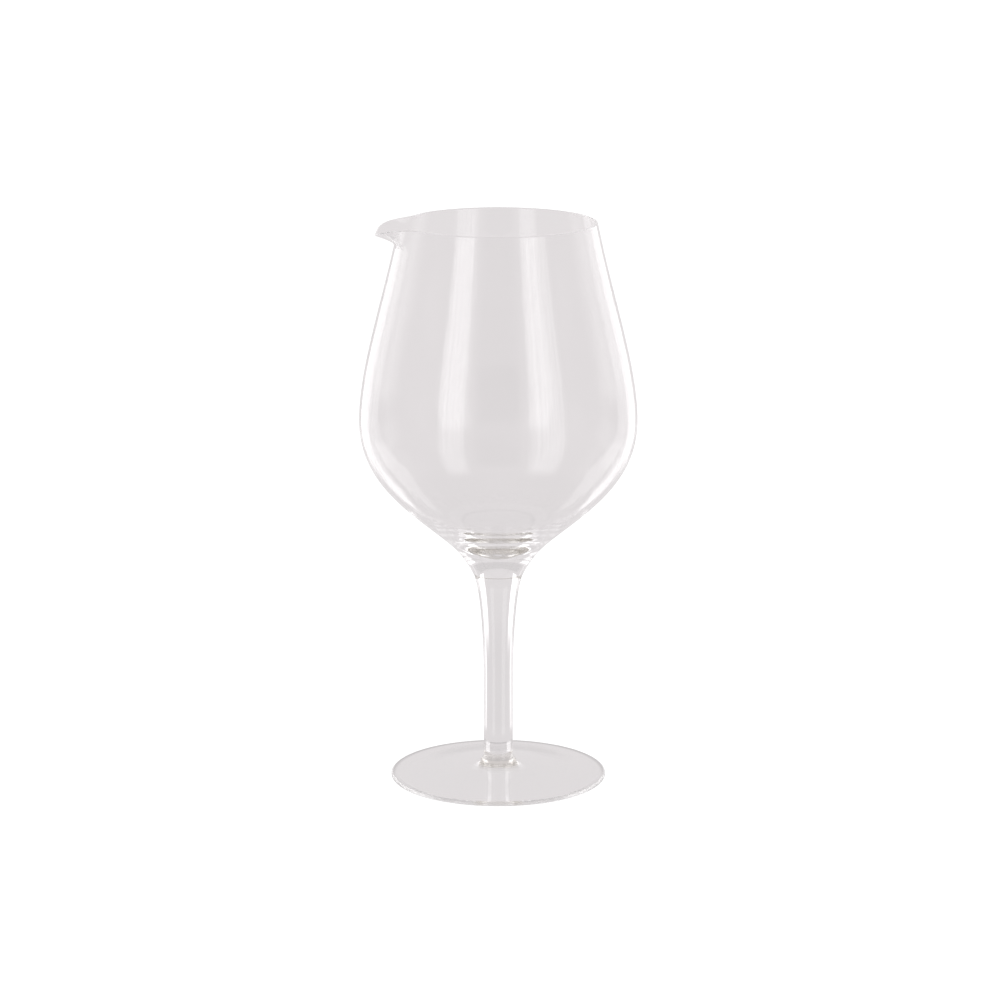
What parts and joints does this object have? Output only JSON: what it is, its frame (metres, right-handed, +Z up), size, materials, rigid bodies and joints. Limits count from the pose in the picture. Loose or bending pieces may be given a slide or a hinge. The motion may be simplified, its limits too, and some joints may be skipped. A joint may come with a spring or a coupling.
{
  "type": "wine carafe",
  "caption": "Clear glass wine carafe shaped like a large stemmed wine glass, with a tapered bowl, a pouring lip pulled from the rim, a solid stem and a round disc foot.",
  "frame": {"origin": "on the carafe's axis, in the plane of the foot's resting ring", "axes": "+Z up along the carafe's axis; the pouring lip points along -X; the picture looks along +Y"},
  "size_m": [0.1466, 0.1466, 0.3],
  "materials": {
    "bowl_glass": "clear, colourless, fire-polished",
    "stem_glass": "clear, colourless, drawn and fire-polished",
    "foot_glass": "clear, colourless, pressed and fire-polished"
  },
  "bodies": {
    "root": {"bowl": "bowl_glass", "stem": "stem_glass", "foot": "foot_glass"}
  },
  "joints": []
}
